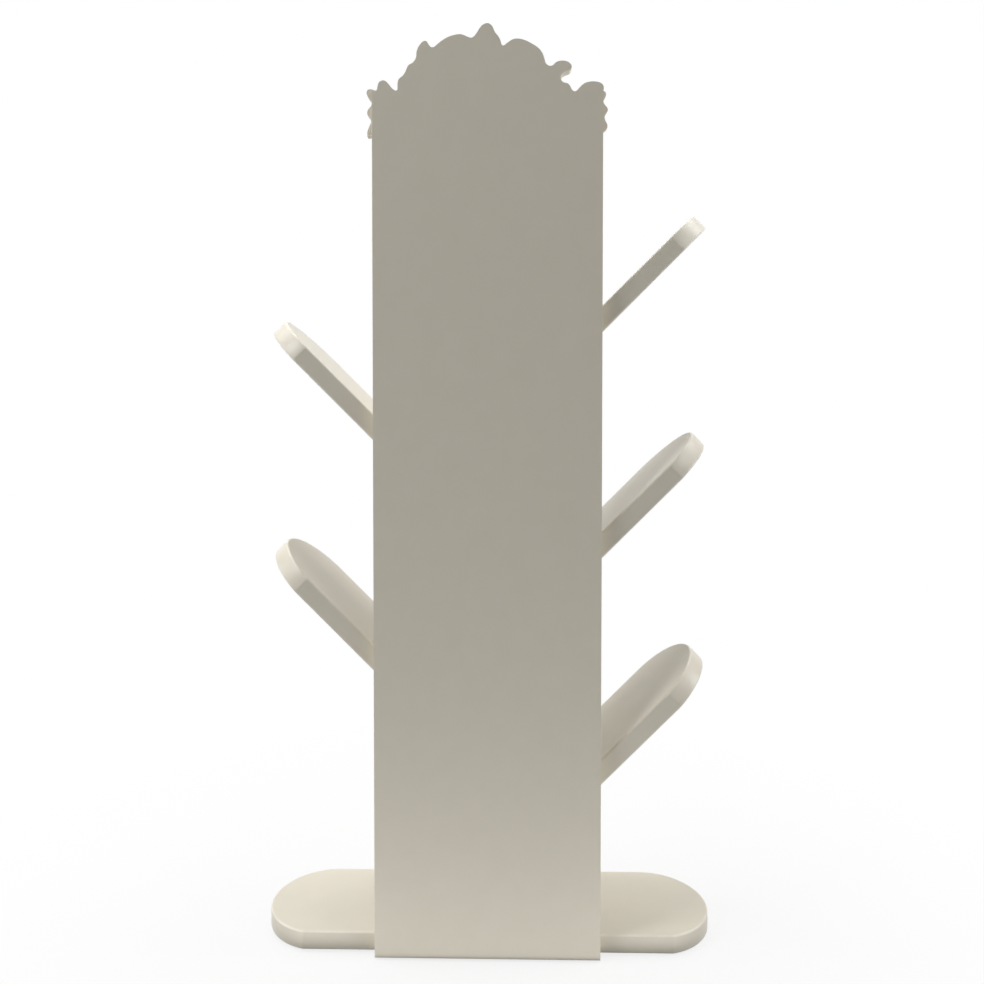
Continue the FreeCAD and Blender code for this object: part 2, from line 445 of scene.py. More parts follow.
def new_material(name: str) -> tuple[bpy.types.Material, ShaderGraph, bpy.types.Node]:
    """Start a material with one shader.

    Args:
        name: The material's name.

    Returns:
        The material, its node tree and its shader node.
    """
    material = bpy.data.materials.new(name)
    material.use_nodes = True
    graph = ShaderGraph(material.node_tree)
    shader = graph.add("BsdfPrincipled")
    output = graph.add("OutputMaterial")
    graph.feed(output.inputs["Surface"], shader.outputs["BSDF"])
    return material, graph, shader


@dataclass(frozen=True)
class PaintFinish:
    """Satin paint, sprayed on boards and carving.

    Attributes:
        name: The material's name.
        paint: Colour of the paint.
        wear_and_highlight: Its paler colour on eased edges, partly rubbed wear and partly a painted
            highlight.
        hollow_shade: Its darker colour in hollows, a painted shade.
        gloss: Roughness of the film.
        clouds: How far its tone drifts, as a share.
        dimple_depth: Depth of the sprayed film's dimples.
        dimple_strength: How strongly they show.
        rim_change: Change of roughness on eased edges.
        hollow_change: Change of roughness in hollows.
    """

    name: str
    paint: Colour
    wear_and_highlight: Colour
    hollow_shade: Colour
    gloss: float = 0.36
    clouds: float = 0.012
    dimple_depth: float = 0.02 * MM
    dimple_strength: float = 0.25
    rim_change: float = -0.02
    hollow_change: float = 0.12

    def make(self, effects: Effects) -> bpy.types.Material:
        """Make the material.

        Args:
            effects: The shared shader effects.

        Returns:
            The material.
        """
        material, graph, shader = new_material(self.name)
        place = graph.add("TexCoord").outputs["Object"]
        rim = graph.add("Attribute", attribute_name=EDGE_WEAR_HIGHLIGHT_LAYER).outputs["Fac"]
        hollow_shade_mask = graph.add("Attribute", attribute_name=HOLLOW_SHADE_LAYER).outputs["Fac"]
        film = effects.paint_film.place(graph, vector=place, paint=self.paint, clouds=self.clouds,
                                        gloss=self.gloss)
        # Paler eased edges: partly rubbed wear, partly a painted highlight.
        edges = effects.toned_mask.place(graph, vector=place, paint=film["Colour"], tone=self.wear_and_highlight,
                                         mask=rim, roughness=film["Roughness"], change=self.rim_change)
        # Painted shade: hollows of the carving take a darker tone of the paint.
        shaded_hollows = effects.toned_mask.place(graph, vector=place, paint=edges["Colour"], tone=self.hollow_shade,
                                           mask=hollow_shade_mask, roughness=edges["Roughness"],
                                           change=self.hollow_change)
        bump = graph.add("Bump", height=film["Height"], strength=self.dimple_strength,
                         distance=self.dimple_depth)
        graph.feed(shader.inputs["Base Color"], shaded_hollows["Colour"])
        graph.feed(shader.inputs["Roughness"], shaded_hollows["Roughness"])
        graph.feed(shader.inputs["Normal"], bump.outputs["Normal"])
        return material


@dataclass(frozen=True)
class FibreFinish:
    """Bare wood or felt, with its fibres along one direction.

    Attributes:
        name: The material's name.
        turn: Turn of the fibres about Y, from X.
        along_y: Whether they run along Y instead.
        stretch: How much longer than thick the fibres are.
        relief: Height of the fibres.
        sheen: Strength of a soft sheen, for felt.
    """

    name: str
    pale: Colour
    dark: Colour
    fleck: Colour
    roughness: float
    stretch: float
    turn: float = 0.0
    along_y: bool = False
    relief: float = 0.05 * MM
    sheen: float = 0.0

    def make(self, effects: Effects) -> bpy.types.Material:
        """Make the material.

        Args:
            effects: The shared shader effects.

        Returns:
            The material.
        """
        material, graph, shader = new_material(self.name)
        place = graph.add("TexCoord").outputs["Object"]
        turn = (0, self.turn, math.pi / 2 if self.along_y else 0)
        mapping = graph.add("Mapping", vector=place, rotation=turn, scale=(1 / self.stretch, 1, 1))
        grain = effects.fibre_grain.place(graph, vector=mapping.outputs["Vector"], pale=self.pale,
                                          dark=self.dark, fleck=self.fleck)
        bump = graph.add("Bump", height=grain["Height"], distance=self.relief)
        graph.feed(shader.inputs["Base Color"], grain["Colour"])
        graph.feed(shader.inputs["Normal"], bump.outputs["Normal"])
        shader.inputs["Roughness"].default_value = self.roughness
        shader.inputs["Sheen Weight"].default_value = self.sheen
        return material


# The second colour of each paint pales its eased edges, partly as wear and partly as a painted highlight;
# the third is a painted shade for its hollows.
CREAM_PAINT = PaintFinish("cream_paint_satin", paint=linear_colour(223, 216, 199),
                          wear_and_highlight=linear_colour(239, 234, 220), hollow_shade=linear_colour(205, 196, 178))
CARVING_PAINT = PaintFinish("carving_paint_satin", paint=linear_colour(226, 220, 206),
                            wear_and_highlight=linear_colour(234, 229, 216), hollow_shade=linear_colour(188, 177, 156),
                            gloss=0.38)
FELT = FibreFinish("pressed_felt", pale=linear_colour(206, 199, 184), dark=linear_colour(150, 142, 126),
                   fleck=linear_colour(228, 223, 212), roughness=0.95, stretch=2.5, relief=0.3 * MM,
                   sheen=0.4)


def beech(name: str, turn: float = 0.0, along_y: bool = False) -> FibreFinish:
    """Describe bare beech with its grain along a direction.

    Args:
        name: The material's name.
        turn: Turn of the grain about Y, from X.
        along_y: Whether the grain runs along Y instead.

    Returns:
        The finish.
    """
    return FibreFinish(name, pale=linear_colour(222, 186, 142), dark=linear_colour(196, 152, 104),
                       fleck=linear_colour(150, 104, 66), roughness=0.6, stretch=14.0, turn=turn,
                       along_y=along_y)


def finish_piece(name: str, shape: bmesh.types.BMesh, material: bpy.types.Material, slot: Slot,
                 *nodes: str) -> bpy.types.Object:
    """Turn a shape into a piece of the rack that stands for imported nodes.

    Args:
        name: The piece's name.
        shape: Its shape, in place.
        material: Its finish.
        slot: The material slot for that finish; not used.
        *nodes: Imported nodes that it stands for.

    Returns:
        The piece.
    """
    turn_outwards(shape)
    mesh = bpy.data.meshes.new(name)
    shape.to_mesh(mesh)
    shape.free()
    mesh.shade_smooth()
    mesh.set_sharp_from_angle(angle=SMOOTH_ANGLE)
    mesh.materials.append(material)
    piece = add_object(name, mesh)
    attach(piece, ROOT_BODY)
    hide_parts(*nodes)
    log.info("%s: %d faces, %s", name, len(mesh.polygons), material.name)
    return piece


def mark_wear_and_highlight(shape: bmesh.types.BMesh, faces: list[bmesh.types.BMFace], border: float = 0.3) -> None:
    """Note the vertices of eased edges, which the paint pales, partly as wear and partly as a painted
    highlight.

    Args:
        shape: The piece's shape.
        faces: The faces of its eased edges.
        border: Level at the sides of the eased edges, whose middles have a level of 1.
    """
    layer = shape.verts.layers.float.get(EDGE_WEAR_HIGHLIGHT_LAYER) or shape.verts.layers.float.new(EDGE_WEAR_HIGHLIGHT_LAYER)
    eased = {face for face in faces if face.is_valid}
    for face in eased:
        for vert in face.verts:
            inside = all(other in eased for other in vert.link_faces)
            vert[layer] = 1.0 if inside else border


def ease(shape: bmesh.types.BMesh, edges: list[bmesh.types.BMEdge], radius: float, steps: int) -> None:
    """Round edges and note them for the paint.

    Args:
        shape: The piece's shape.
        edges: The edges to round.
        radius: Radius of the rounding.
        steps: Faces round it.
    """
    made = bmesh.ops.bevel(shape, geom=edges, offset=radius, offset_type="OFFSET", segments=steps,
                           profile=0.5, affect="EDGES", material=-1, clamp_overlap=True)
    mark_wear_and_highlight(shape, made["faces"])


def hold_flat(shape: bmesh.types.BMesh, margin: float, least_area: float) -> None:
    """Frame each large face with a narrow strip, so that it shades flat beside its rounded edges.

    Args:
        shape: The piece's shape.
        margin: Width of the strip.
        least_area: Area from which a face counts as large.
    """
    large = [face for face in shape.faces if face.calc_area() > least_area]
    bmesh.ops.inset_individual(shape, faces=large, thickness=margin, use_even_offset=True)


@dataclass
class Board:
    """A painted board with round ends, flat on Z = 0 with its length along X until it is placed.

    Attributes:
        front: Place of its front edge, along Y.
        back: Place of its back edge.
        thickness: Its thickness.
        back_trim: How much of a full-round board is planed off its back edge, which leaves a corner there.
        edge_radius: Rounding of the upper and lower edges.
        corner_radius: Rounding of the corner at the back edge.
    """

    front: float
    back: float
    thickness: float
    back_trim: float = 1.8 * MM
    edge_radius: float = 1.5 * MM
    edge_steps: int = 4
    corner_radius: float = 0.5 * MM
    corner_steps: int = 2
    corner_angle: float = math.radians(10)
    arc_steps: int = 64
    flat_margin: float = 0.5 * MM
    flat_area: float = 1000 * MM * MM

    @property
    def end_radius(self) -> float:
        """Radius of a round end."""
        return (self.back - self.front + self.back_trim) / 2

    def add_round_end(self, shape: bmesh.types.BMesh, crown: float,
                      side: Side) -> tuple[bmesh.types.BMVert, bmesh.types.BMVert]:
        """Add the arc of a round end to an outline.

        Args:
            shape: The outline.
            crown: Place of the end's outermost point, along X.
            side: The side that the end points to.

        Returns:
            The arc's vertex at the back edge and the one at the front edge.
        """
        radius = self.end_radius
        middle = Vector((crown - side.value * radius, self.front + radius, 0))
        rise = radius - self.back_trim
        run = math.sqrt(radius**2 - rise**2)
        corner = shape.verts.new((middle.x + side.value * run, self.back, 0))
        sweep = math.pi / 2 + math.asin(rise / radius)
        arc = bmesh.ops.spin(shape, geom=[corner], cent=middle, axis=UP, angle=-side.value * sweep,
                             steps=self.arc_steps, use_merge=False)
        return corner, verts_of(arc["geom_last"])[0]

    def thicken(self, shape: bmesh.types.BMesh) -> None:
        """Close an outline and give it the board's thickness.

        Args:
            shape: The outline, which becomes the board.
        """
        face = bmesh.ops.edgeloop_fill(shape, edges=shape.edges[:])["faces"]
        raised = bmesh.ops.extrude_face_region(shape, geom=face)["geom"]
        bmesh.ops.translate(shape, verts=verts_of(raised), vec=UP * self.thickness)
        turn_outwards(shape)

    def ease_edges(self, shape: bmesh.types.BMesh, square_end: float = math.inf) -> None:
        """Round the board's corners and its upper and lower edges.

        Args:
            shape: The board.
            square_end: Place of an end that stays square, along X.
        """
        corners = [edge for edge in shape.edges if self.is_corner(edge, square_end)]
        ease(shape, corners, self.corner_radius, self.corner_steps)
        rims = [edge for edge in shape.edges if self.is_rim(edge, square_end)]
        ease(shape, rims, self.edge_radius, self.edge_steps)

    def is_corner(self, edge: bmesh.types.BMEdge, square_end: float) -> bool:
        """Say whether an edge is the upright one where a round end meets the back edge.

        Args:
            edge: An edge of the board.
            square_end: Place of an end that stays square, along X.

        Returns:
            Whether it is.
        """
        upright = climb(edge) > self.thickness / 2
        bent = edge.calc_face_angle() > self.corner_angle
        return upright and bent and abs(edge.verts[0].co.x - square_end) > MM

    def is_rim(self, edge: bmesh.types.BMEdge, square_end: float) -> bool:
        """Say whether an edge runs round the upper or the lower face, other than along a square end."""
        along_end = all(abs(vert.co.x - square_end) < MM for vert in edge.verts)
        return climb(edge) < MERGE_DISTANCE and not along_end


@dataclass
class Base(Board):
    """The board that lies on the table, with two round ends."""

    node: str = "base_board"

    @classmethod
    def from_frame(cls) -> "Base":
        """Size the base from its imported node."""
        low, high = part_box(cls.node)
        return cls(front=low.y, back=high.y, thickness=high.z - low.z)

    def build(self, material: bpy.types.Material) -> bpy.types.Object:
        """Model the base and paint it.

        Args:
            material: Its paint.

        Returns:
            The piece.
        """
        low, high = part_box(self.node)
        shape = bmesh.new()
        right_back, right_front = self.add_round_end(shape, high.x, Side.RIGHT)
        left_back, left_front = self.add_round_end(shape, low.x, Side.LEFT)
        shape.edges.new((right_front, left_front))
        shape.edges.new((left_back, right_back))
        self.thicken(shape)
        self.ease_edges(shape)
        hold_flat(shape, self.flat_margin, self.flat_area)
        bmesh.ops.translate(shape, verts=shape.verts[:], vec=UP * low.z)
        return finish_piece("base_board_painted", shape, material, Slot.CREAM_PAINT, self.node)


@dataclass
class Shelf(Board):
    """A slanted board with one round end, cut square to stand on the board below.

    Attributes:
        node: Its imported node.
        side: The side to which it rises.
        slope: Angle of its rise.
    """

    node: str = ""
    side: Side = Side.LEFT
    slope: float = SHELF_SLOPE

    @classmethod
    def from_frame(cls, number: int, side: Side) -> "Shelf":
        """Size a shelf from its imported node.

        Args:
            number: Its number, from the lowest up.
            side: The side to which it rises.

        Returns:
            The shelf.
        """
        node = f"shelf_{number}"
        low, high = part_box(node)
        shelf = cls(front=low.y, back=high.y, thickness=0.0, node=node, side=side)
        under, over = reach(node, shelf.normal)
        shelf.thickness = over - under
        return shelf

    @property
    def along(self) -> Vector:
        """Direction up the slope."""
        return Vector((self.side.value * math.cos(self.slope), 0, math.sin(self.slope)))

    @property
    def normal(self) -> Vector:
        """Direction out of the upper face."""
        return Vector((-self.side.value * math.sin(self.slope), 0, math.cos(self.slope)))

    @property
    def upper_point(self) -> Vector:
        """A point of the upper face."""
        return self.normal * reach(self.node, self.normal)[1]

    def build(self, material: bpy.types.Material, seat_point: Vector,
              seat_normal: Vector) -> bpy.types.Object:
        """Model the shelf and paint it.

        Args:
            material: Its paint.
            seat_point: A point of the face that it stands on.
            seat_normal: Direction out of that face.

        Returns:
            The piece.
        """
        foot, crown = reach(self.node, self.along)
        low = foot - self.thickness
        shape = bmesh.new()
        back, front = self.add_round_end(shape, crown, Side.RIGHT)
        low_front = shape.verts.new((low, self.front, 0))
        low_back = shape.verts.new((low, self.back, 0))
        for pair in ((front, low_front), (low_front, low_back), (low_back, back)):
            shape.edges.new(pair)
        self.thicken(shape)
        self.ease_edges(shape, square_end=low)

        columns = Matrix((self.along, BACKWARD, self.normal)).transposed().to_4x4()
        place = Matrix.Translation(self.normal * reach(self.node, self.normal)[0]) @ columns
        bmesh.ops.transform(shape, matrix=place, verts=shape.verts[:])
        everything = shape.verts[:] + shape.edges[:] + shape.faces[:]
        cut = bmesh.ops.bisect_plane(shape, geom=everything, plane_co=seat_point, plane_no=seat_normal,
                                     clear_inner=True)["geom_cut"]
        bmesh.ops.edgeloop_fill(shape, edges=edges_of(cut))
        turn_outwards(shape)
        hold_flat(shape, self.flat_margin, self.flat_area)
        return finish_piece(f"{self.node}_painted", shape, material, Slot.CREAM_PAINT, self.node)


def flat_outline(node: str, depth: float) -> bmesh.types.BMesh:
    """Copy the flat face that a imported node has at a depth.

    Args:
        node: Name of the node.
        depth: Place of the face, along Y.

    Returns:
        A shape with that one face, its outline refined.
    """
    shape = bmesh.new()
    shape.from_mesh(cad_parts[node].data)
    bmesh.ops.remove_doubles(shape, verts=shape.verts[:], dist=MERGE_DISTANCE)
    others = [face for face in shape.faces
              if any(abs(vert.co.y - depth) > MERGE_DISTANCE for vert in face.verts)]
    bmesh.ops.delete(shape, geom=others, context="FACES")
    bmesh.ops.dissolve_faces(shape, faces=shape.faces[:], use_verts=False)
    refine_outline(shape)
    return shape


def refine_outline(shape: bmesh.types.BMesh, longest: float = 8 * MM) -> None:
    """Halve the short edges of an outline on a smooth curve through its points, by the four-point rule.

    Args:
        shape: A shape with one face.
        longest: Length up to which an edge is part of a curve.
    """
    face = shape.faces[:][0]
    loops = list(face.loops)
    halved = []
    for here, loop in enumerate(loops):
        run = [loops[(here + step) % len(loops)] for step in (-1, 0, 1)]
        if all(one.edge.calc_length() < longest for one in run):
            places = [run[0].vert.co, loop.vert.co, run[2].vert.co, run[2].link_loop_next.vert.co]
            between = (9 * (places[1] + places[2]) - places[0] - places[3]) / 16
            halved.append((loop.edge, loop.vert, between))
    for edge, vert, place in halved:
        _, middle = bmesh.utils.edge_split(edge, vert, 0.5)
        middle.co = place


def thicken_outline(shape: bmesh.types.BMesh, move: Vector) -> None:
    """Give a flat outline its thickness.

    Args:
        shape: A shape with one face.
        move: From that face to the opposite one.
    """
    moved = bmesh.ops.extrude_face_region(shape, geom=shape.faces[:])["geom"]
    bmesh.ops.translate(shape, verts=verts_of(moved), vec=move)
    turn_outwards(shape)


def level_edges(shape: bmesh.types.BMesh, depth: float) -> list[bmesh.types.BMEdge]:
    """List the edges that lie at a depth, along Y."""
    return [edge for edge in shape.edges
            if all(abs(vert.co.y - depth) < MERGE_DISTANCE for vert in edge.verts)]


@dataclass
class BackPanel:
    """The tall flat panel, with its crest.

    Attributes:
        edge_radius: Rounding of its front and back edges.
    """

    node: str = "back_panel"
    edge_radius: float = 0.8 * MM
    edge_steps: int = 3
    flat_margin: float = 0.4 * MM
    flat_area: float = 5000 * MM * MM

    def build(self, material: bpy.types.Material) -> bpy.types.Object:
        """Model the panel and paint it.

        Args:
            material: Its paint.

        Returns:
            The piece.
        """
        low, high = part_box(self.node)
        shape = flat_outline(self.node, high.y)
        thicken_outline(shape, Vector((0, low.y - high.y, 0)))
        rims = level_edges(shape, low.y) + level_edges(shape, high.y)
        ease(shape, rims, self.edge_radius, self.edge_steps)
        hold_flat(shape, self.flat_margin, self.flat_area)
        return finish_piece("back_panel_painted", shape, material, Slot.CREAM_PAINT, self.node)


def join_part(shape: bmesh.types.BMesh, part: bmesh.types.BMesh) -> None:
    """Add a finished part to a shape.

    Args:
        shape: The shape that grows.
        part: The part, which is used up.
    """
    mesh = bpy.data.meshes.new("part")
    part.to_mesh(mesh)
    part.free()
    shape.from_mesh(mesh)
    bpy.data.meshes.remove(mesh)


def crest_place(x: float, z: float) -> Place:
    """Turn a place on the crest, from the centre line and above the panel's sides, into metres."""
    return (x * MM, z * MM)


@dataclass(frozen=True)
class CarvedGround:
    """The flat ground that carved forms rise from.

    Attributes:
        front: Place of its front face, along Y.
        foot: Height of the panel's sides, from which places on the crest are measured.
    """

    front: float
    foot: float

    def point(self, place: Place, height: float) -> Vector:
        """Turn a place on the crest and a height over the ground into a point."""
        return Vector((place[0], self.front - height, self.foot + place[1]))


@dataclass(frozen=True)
class CarvedForm:
    """A raised form that follows a bent spine over the ground.

    Attributes:
        root: Where the form starts, from the centre line and above the panel's sides.
        tip: Where it ends.
        width: Half of its greatest width.
        rise: Its greatest height over the ground.
        swing: Sideways swing of its spine, in lengths.
        sunk: How far its foot goes into the ground.
        hollow_shade_level: Height, in rises, below which the painted shade of the hollows starts.
    """

    root: Place
    tip: Place
    width: float
    rise: float
    swing: float = 0.0
    steps_along: int = 44
    steps_across: int = 24
    sunk: float = 0.6 * MM
    least_width: float = 0.25 * MM
    hollow_shade_level: float = 0.75

    def half_width(self, along: float) -> float:
        """Half of the width at a share of the length."""
        raise NotImplementedError

    def height(self, along: float, across: float) -> float:
        """Height over the ground, in rises, at a share of the length and of the half width."""
        raise NotImplementedError

    def pull(self, along: float, across: float) -> float:
        """Share of the length at which a point of the grid lies."""
        return along

    def place(self, along: float, across: float) -> Place:
        """Find a point of the form on the crest.

        Args:
            along: Share of the length.
            across: Share of the half width, from -1 to 1.

        Returns:
            The point's place.
        """
        share = self.pull(along, across)
        run = Vector(self.tip) - Vector(self.root)
        sideways = Vector((-run.y, run.x))
        spine = Vector(self.root) + run * share + sideways * self.swing * math.sin(math.pi * share)
        heading = run + sideways * self.swing * math.pi * math.cos(math.pi * share)
        beside = Vector((-heading.y, heading.x)).normalized()
        width = max(self.width * self.half_width(along), self.least_width)
        return tuple(spine + beside * across * width)

    def carve(self, shape: bmesh.types.BMesh, ground: CarvedGround) -> None:
        """Add the form to the carving.

        Args:
            shape: The carving.
            ground: The ground that it rises from.
        """
        part = bmesh.new()
        layer = part.verts.layers.float.new(HOLLOW_SHADE_LAYER)
        bmesh.ops.create_grid(part, x_segments=self.steps_along, y_segments=self.steps_across, size=1.0)
        for vert in part.verts:
            along = (vert.co.x + 1) / 2
            across = vert.co.y
            level = self.height(along, across)
            # Painted shade: the lower a point of the form, the darker its paint; the foot below is fully
            # shaded.
            vert[layer] = 1 - smooth_step(0.0, self.hollow_shade_level, level)
            vert.co = ground.point(self.place(along, across), self.rise * level)
        rim = [edge for edge in part.edges if edge.is_boundary]
        foot = bmesh.ops.extrude_edge_only(part, edges=rim)["geom"]
        for vert in verts_of(foot):
            vert.co.y = ground.front + self.sunk
            vert[layer] = 1.0
        bmesh.ops.edgeloop_fill(part, edges=[edge for edge in edges_of(foot) if edge.is_boundary])
        join_part(shape, part)


@dataclass(frozen=True)
class Leaf(CarvedForm):
    """A pointed leaf with a sunk midrib, side veins and a toothed edge.

    Attributes:
        blade_lean: Power that moves the widest part towards the root.
        blade_fullness: Power that fills out the sides.
        arch_foot: Height of the spine at its ends, in rises.
        fall: Fall of the blade from its spine to its edge, in rises.
        fall_curve: Power that rounds that fall.
        vein_zone: Shares of the half width where the veins start, show fully and start to fade.
    """

    teeth: int = 6
    tooth_depth: float = 0.07
    blade_lean: float = 0.8
    blade_fullness: float = 0.95
    arch_foot: float = 0.62
    fall: float = 0.55
    fall_curve: float = 1.8
    midrib_depth: float = 0.34
    midrib_width: float = 0.11
    vein_count: float = 6.0
    vein_lean: float = 1.3
    vein_depth: float = 0.09
    vein_zone: tuple[float, float, float] = (0.1, 0.35, 0.7)
    least_height: float = 0.05

    def half_width(self, along: float) -> float:
        """Find half of the width, with the teeth of the edge.

        Args:
            along: Share of the length.

        Returns:
            Half of the width, as a share of its greatest.
        """
        blade = math.sin(math.pi * along**self.blade_lean) ** self.blade_fullness
        tooth = 1 - (along * self.teeth) % 1.0
        return blade * (1 + self.tooth_depth * (tooth - 0.5))

    def height(self, along: float, across: float) -> float:
        """Find the height over the ground of the arched blade, its midrib and its veins.

        Args:
            along: Share of the length.
            across: Share of the half width, from -1 to 1.

        Returns:
            The height, in rises.
        """
        side = abs(across)
        arch = self.arch_foot + (1 - self.arch_foot) * math.sin(math.pi * along)
        blade = 1 - self.fall * side**self.fall_curve
        midrib = self.midrib_depth * math.exp(-((side / self.midrib_width) ** 2))
        wave = math.cos(2 * math.pi * (self.vein_count * along - self.vein_lean * side))
        start, full, fade = self.vein_zone
        veins = self.vein_depth * wave * smooth_step(start, full, side) * smooth_step(1.0, fade, side)
        return max(arch * (blade - midrib + veins), self.least_height)


@dataclass(frozen=True)
class Petal(CarvedForm):
    """A broad petal with a rolled rim, a notch at its tip and soft folds towards its root.

    Attributes:
        foot_width: Width at its root, as a share of the greatest width.
        spread: Power with which it widens from there.
        blunt: How much of its width the tip loses.
        notch: Depth of the notch at its tip, in lengths.
        notch_width: Width of the notch, in half widths.
        shoulder: How far the tip's sides draw back, in lengths.
        cup_foot: Height at its root, in rises.
        cup_zone: Shares of the length between which it rises from there.
        tip_roll: How far the rim at the tip rolls down, in rises.
        tip_roll_start: Share of the length where that starts.
        crown_fall: Fall from its middle to its sides, in rises.
        side_roll: How far the rims at its sides roll down.
        side_roll_start: Share of the half width where that starts.
    """

    foot_width: float = 0.3
    spread: float = 0.7
    blunt: float = 0.85
    notch: float = 0.1
    notch_width: float = 0.35
    shoulder: float = 0.16
    cup_foot: float = 0.3
    cup_zone: tuple[float, float] = (0.1, 0.85)
    tip_roll: float = 0.45
    tip_roll_start: float = 0.82
    crown_fall: float = 0.3
    side_roll: float = 0.2
    side_roll_start: float = 0.75
    folds: float = 3.0
    fold_depth: float = 0.07

    def half_width(self, along: float) -> float:
        """Half of the width at a share of the length."""
        width = self.foot_width + (1 - self.foot_width) * along**self.spread
        return width * math.sqrt(1 - self.blunt * along**5)

    def pull(self, along: float, across: float) -> float:
        """Share of the length at which a point of the grid lies."""
        dip = self.notch * math.exp(-((across / self.notch_width) ** 2))
        return along * (1 - along**3 * (dip + self.shoulder * across**4))

    def height(self, along: float, across: float) -> float:
        """Find the height over the ground of the cupped petal, its rims and its folds.

        Args:
            along: Share of the length.
            across: Share of the half width, from -1 to 1.

        Returns:
            The height, in rises.
        """
        side = abs(across)
        cup = self.cup_foot + (1 - self.cup_foot) * smooth_step(*self.cup_zone, along)
        roll = 1 - self.tip_roll * smooth_step(self.tip_roll_start, 1.0, along)
        edge = self.side_roll * smooth_step(self.side_roll_start, 1.0, side)
        crown = 1 - self.crown_fall * side**2 - edge
        wave = math.cos(2 * math.pi * self.folds * across)
        return cup * roll * crown + self.fold_depth * wave * math.sin(math.pi * along)


@dataclass(frozen=True)
class Stem(CarvedForm):
    """A thin half-round stem that tapers to its tip."""

    taper: float = 0.5
    roundness: float = 0.9

    def half_width(self, along: float) -> float:
        """Half of the width at a share of the length."""
        return 1 - self.taper * along

    def height(self, along: float, across: float) -> float:
        """Height over the ground, in rises, at a share of the length and of the half width."""
        return (1 - self.taper * along) * math.sqrt(1 - self.roundness * across**2)


@dataclass(frozen=True)
class Flower:
    """An open flower: two rings of petals round a beaded eye.

    Attributes:
        middle: Its middle on the crest.
        radius: Its radius.
        turn: Turn of the first petal from straight up.
        bead_ring: Radius of the ring of beads, in radii of the eye.
        bead_level: Height of the beads, in heights of the eye.
    """

    middle: Place
    radius: float
    turn: float = 0.0
    petal_count: int = 5
    outer_rise: float = 3.0 * MM
    inner_share: float = 0.66
    inner_rise: float = 3.9 * MM
    petal_width: float = 0.62
    petal_swing: float = 0.05
    petal_steps: int = 26
    petal_foot: float = 0.1
    eye_share: float = 0.2
    eye_rise: float = 4.4 * MM
    eye_steps: int = 16
    bead_count: int = 11
    bead_share: float = 0.055
    bead_ring: float = 1.25
    bead_level: float = 0.82
    bead_steps: int = 8

    def carve(self, shape: bmesh.types.BMesh, ground: CarvedGround) -> None:
        """Add the flower to the carving.

        Args:
            shape: The carving.
            ground: The ground that it rises from.
        """
        self.carve_ring(shape, ground, self.radius, self.outer_rise, self.turn)
        half_step = math.pi / self.petal_count
        inner = self.radius * self.inner_share
        self.carve_ring(shape, ground, inner, self.inner_rise, self.turn + half_step)
        self.carve_eye(shape, ground)

    def around(self, distance: float, turn: float) -> Place:
        """Find a place at a distance from the flower's middle, in a direction from straight up."""
        return (self.middle[0] + distance * math.sin(turn), self.middle[1] + distance * math.cos(turn))

    def carve_ring(self, shape: bmesh.types.BMesh, ground: CarvedGround, radius: float, rise: float,
                   turn: float) -> None:
        """Add one ring of petals.

        Args:
            shape: The carving.
            ground: The ground that it rises from.
            radius: Radius of the ring.
            rise: Height of its petals.
            turn: Turn of the first petal.
        """
        for index in range(self.petal_count):
            heading = turn + 2 * math.pi * index / self.petal_count
            petal = Petal(self.around(radius * self.petal_foot, heading), self.around(radius, heading),
                          width=radius * self.petal_width, rise=rise,
                          swing=self.petal_swing * (-1) ** index, steps_along=self.petal_steps,
                          steps_across=self.petal_steps)
            petal.carve(shape, ground)

    def carve_eye(self, shape: bmesh.types.BMesh, ground: CarvedGround) -> None:
        """Add the domed eye and the ring of beads round it.

        Args:
            shape: The carving.
            ground: The ground that it rises from.
        """
        part = bmesh.new()
        radius = self.radius * self.eye_share
        self.add_dome(part, ground.point(self.middle, 0), radius, self.eye_rise, self.eye_steps)
        bead = self.radius * self.bead_share
        rise = self.eye_rise * self.bead_level
        for index in range(self.bead_count):
            place = self.around(radius * self.bead_ring, 2 * math.pi * index / self.bead_count)
            self.add_dome(part, ground.point(place, 0), bead, rise, self.bead_steps)
        join_part(shape, part)

    def add_dome(self, shape: bmesh.types.BMesh, middle: Vector, radius: float, rise: float,
                 steps: int) -> None:
        """Add a rounded dome.

        Args:
            shape: The carving.
            middle: Its middle, on the ground.
            radius: Its radius.
            rise: Its height.
            steps: Faces round it.
        """
        scale = Matrix.Diagonal((radius, rise, radius, 1))
        bmesh.ops.create_uvsphere(shape, u_segments=steps, v_segments=steps // 2 + 2, radius=1.0,
                                  matrix=Matrix.Translation(middle) @ scale)


